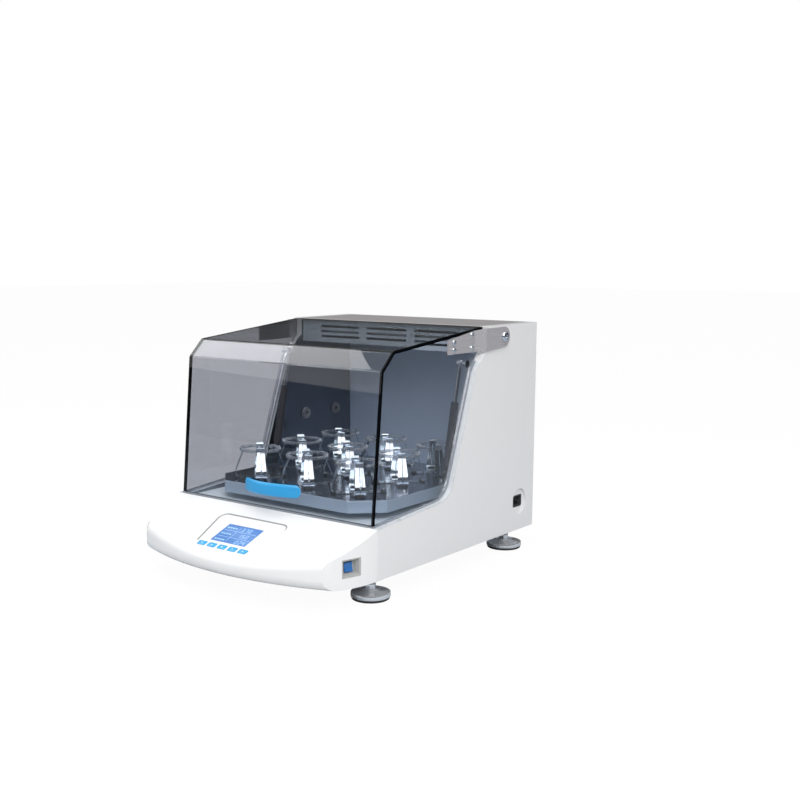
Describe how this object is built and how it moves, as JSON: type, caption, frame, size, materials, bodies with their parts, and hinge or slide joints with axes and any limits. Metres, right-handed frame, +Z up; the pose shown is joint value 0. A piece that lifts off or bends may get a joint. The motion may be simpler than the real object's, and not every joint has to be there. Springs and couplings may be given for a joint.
{
  "type": "shaking incubator",
  "caption": "Bench-top orbital shaking incubator with a clear lift-up lid on gas struts, sloping control console and a shaking platform with sprung flask clamps.",
  "frame": {"origin": "middle of the outline, on the bench under the four feet", "axes": "+X across to the right side, +Y from the console to the back, +Z up"},
  "size_m": [0.4456, 0.587, 0.398],
  "materials": {
    "white_paint": "glossy white enamel",
    "white_plastic": "glossy white moulding",
    "grey_paint": "satin light grey",
    "stainless": "brushed stainless sheet",
    "polished_steel": "bright polished",
    "spring_wire": "drawn spring wire",
    "clear_lid": "clear smoky acrylic",
    "blue_plastic": "glossy blue moulding",
    "black_rubber": "matt black rubber",
    "black_plastic": "matt black",
    "light_trim": "pale grey trim",
    "overlay_film": "satin white film",
    "display_glass": "blue lit display",
    "circuit_board": "green board",
    "machined_steel": "turned steel",
    "cast_iron": "grey casting",
    "aluminium": "machined aluminium",
    "black_paint": "satin black",
    "grille_blue": "pale blue grey"
  },
  "bodies": {
    "cabinet": {"side_cover_left": "white_paint", "side_cover_right": "white_paint", "console_cover": "white_plastic", "control_overlay": "overlay_film", "display_module": "display_glass", "control_board": "circuit_board", "switch_bezel": "light_trim", "base_pan": "white_paint", "back_panel": "white_paint", "top_cover": "grey_paint", "chamber_liner": "stainless", "duct_shelf": "stainless", "grille_panel": "grille_blue", "edge_trims": "light_trim", "lid_gasket": "black_rubber", "cabinet_pivots": "polished_steel", "drive_frame": "cast_iron", "ball_bearings": "machined_steel", "drive_belt": "black_rubber", "motor": "black_paint", "heater_coil": "machined_steel", "fan_motor": "black_paint", "sensor_ports": "black_plastic", "mains_inlet": "black_plastic", "power_supply": "machined_steel"},
    "lid": {"lid_sheet": "clear_lid", "lid_sides": "clear_lid", "lid_handle": "blue_plastic", "hinge_arm_left": "polished_steel", "hinge_arm_right": "polished_steel", "lid_fasteners": "polished_steel"},
    "left_tube": {"strut_tube_left": "black_paint"},
    "right_tube": {"strut_tube_right": "black_paint"},
    "left_rod": {"strut_rod_left": "polished_steel"},
    "right_rod": {"strut_rod_right": "polished_steel"},
    "crank": {"crankshaft": "machined_steel", "counterweight": "cast_iron", "drive_pulley": "aluminium"},
    "platform": {"platform_tray": "stainless", "platform_carrier": "aluminium", "platform_screws": "polished_steel", "flask_clamps_front": "polished_steel", "flask_clamps_middle": "polished_steel", "flask_clamps_rear": "polished_steel", "clamp_springs": "spring_wire"},
    "left_idler": {"idler_crank_left": "machined_steel"},
    "right_idler": {"idler_crank_right": "machined_steel"},
    "rear_idler": {"idler_crank_rear": "machined_steel"},
    "rotor": {"motor_pulley": "aluminium"},
    "fan": {"fan_wheel": "black_plastic"},
    "rocker": {"power_rocker": "blue_plastic"},
    "key_1_cap": {"key_1": "blue_plastic"},
    "key_2_cap": {"key_2": "blue_plastic"},
    "key_3_cap": {"key_3": "blue_plastic"},
    "key_4_cap": {"key_4": "blue_plastic"},
    "key_5_cap": {"key_5": "blue_plastic"},
    "front_left_foot": {"foot_front_left": "polished_steel"},
    "front_right_foot": {"foot_front_right": "polished_steel"},
    "rear_left_foot": {"foot_rear_left": "polished_steel"},
    "rear_right_foot": {"foot_rear_right": "polished_steel"}
  },
  "joints": [
    {"name": "lid_hinge", "type": "hinge", "parent": "cabinet", "child": "lid", "pos_m": [0, 0.1811, 0.379], "axis": [-1, 0, 0], "range_deg": [0, 70]},
    {"name": "left_strut_swing", "type": "hinge", "parent": "cabinet", "child": "left_tube", "pos_m": [-0.186, 0.0535, 0.161], "axis": [-1, 0, 0], "range_deg": [-1, 1]},
    {"name": "left_strut_stroke", "type": "slide", "parent": "left_tube", "child": "left_rod", "axis": [0, 0.2088, 0.978], "range_m": [0, 0.11355]},
    {"name": "right_strut_swing", "type": "hinge", "parent": "cabinet", "child": "right_tube", "pos_m": [0.186, 0.0535, 0.161], "axis": [-1, 0, 0], "range_deg": [-1, 1]},
    {"name": "right_strut_stroke", "type": "slide", "parent": "right_tube", "child": "right_rod", "axis": [0, 0.2088, 0.978], "range_m": [0, 0.11355]},
    {"name": "drive_spin", "type": "hinge", "parent": "cabinet", "child": "crank", "pos_m": [0, 0.0435, 0.083], "axis": [0, 0, 1], "continuous": true},
    {"name": "platform_pivot", "type": "hinge", "parent": "crank", "child": "platform", "pos_m": [0, 0.0335, 0.125], "axis": [0, 0, 1], "continuous": true},
    {"name": "left_idler_spin", "type": "hinge", "parent": "cabinet", "child": "left_idler", "pos_m": [-0.13, -0.0525, 0.083], "axis": [0, 0, 1], "continuous": true},
    {"name": "right_idler_spin", "type": "hinge", "parent": "cabinet", "child": "right_idler", "pos_m": [0.13, -0.0525, 0.083], "axis": [0, 0, 1], "continuous": true},
    {"name": "rear_idler_spin", "type": "hinge", "parent": "cabinet", "child": "rear_idler", "pos_m": [0, 0.1675, 0.083], "axis": [0, 0, 1], "continuous": true},
    {"name": "motor_spin", "type": "hinge", "parent": "cabinet", "child": "rotor", "pos_m": [0.105, 0.1035, 0.088], "axis": [0, 0, 1], "continuous": true},
    {"name": "fan_spin", "type": "hinge", "parent": "cabinet", "child": "fan", "pos_m": [0, 0.2224, 0.378], "axis": [0, 0, 1], "continuous": true},
    {"name": "key_1_press", "type": "slide", "parent": "cabinet", "child": "key_1_cap", "axis": [0, 0.3593, -0.9332], "range_m": [0, 0.0008], "stiffness_N_per_m": 600, "springref_m": -0.0005},
    {"name": "key_2_press", "type": "slide", "parent": "cabinet", "child": "key_2_cap", "axis": [0, 0.3593, -0.9332], "range_m": [0, 0.0008], "stiffness_N_per_m": 600, "springref_m": -0.0005},
    {"name": "key_3_press", "type": "slide", "parent": "cabinet", "child": "key_3_cap", "axis": [0, 0.3593, -0.9332], "range_m": [0, 0.0008], "stiffness_N_per_m": 600, "springref_m": -0.0005},
    {"name": "key_4_press", "type": "slide", "parent": "cabinet", "child": "key_4_cap", "axis": [0, 0.3593, -0.9332], "range_m": [0, 0.0008], "stiffness_N_per_m": 600, "springref_m": -0.0005},
    {"name": "key_5_press", "type": "slide", "parent": "cabinet", "child": "key_5_cap", "axis": [0, 0.3593, -0.9332], "range_m": [0, 0.0008], "stiffness_N_per_m": 600, "springref_m": -0.0005},
    {"name": "rocker_tilt", "type": "hinge", "parent": "cabinet", "child": "rocker", "pos_m": [0.19596, -0.2112, 0.065], "axis": [0.2639, 0.9646, 0], "range_deg": [0, 12]},
    {"name": "foot_front_left_turn", "type": "hinge", "parent": "cabinet", "child": "front_left_foot", "pos_m": [-0.19, -0.1475, 0.023], "axis": [0, 0, 1], "continuous": true},
    {"name": "foot_front_right_turn", "type": "hinge", "parent": "cabinet", "child": "front_right_foot", "pos_m": [0.19, -0.1475, 0.023], "axis": [0, 0, 1], "continuous": true},
    {"name": "foot_rear_left_turn", "type": "hinge", "parent": "cabinet", "child": "rear_left_foot", "pos_m": [-0.19, 0.2375, 0.023], "axis": [0, 0, 1], "continuous": true},
    {"name": "foot_rear_right_turn", "type": "hinge", "parent": "cabinet", "child": "rear_right_foot", "pos_m": [0.19, 0.2375, 0.023], "axis": [0, 0, 1], "continuous": true}
  ],
  "couplings": [
    {"joint": "left_strut_swing", "follows": "lid_hinge", "ratio": -0.006049},
    {"joint": "left_strut_stroke", "follows": "lid_hinge", "m_per_rad": 0.092123},
    {"joint": "right_strut_swing", "follows": "lid_hinge", "ratio": -0.006049},
    {"joint": "right_strut_stroke", "follows": "lid_hinge", "m_per_rad": 0.092123},
    {"joint": "platform_pivot", "follows": "drive_spin", "ratio": -1},
    {"joint": "left_idler_spin", "follows": "drive_spin", "ratio": 1},
    {"joint": "right_idler_spin", "follows": "drive_spin", "ratio": 1},
    {"joint": "rear_idler_spin", "follows": "drive_spin", "ratio": 1},
    {"joint": "motor_spin", "follows": "drive_spin", "ratio": 3}
  ]
}
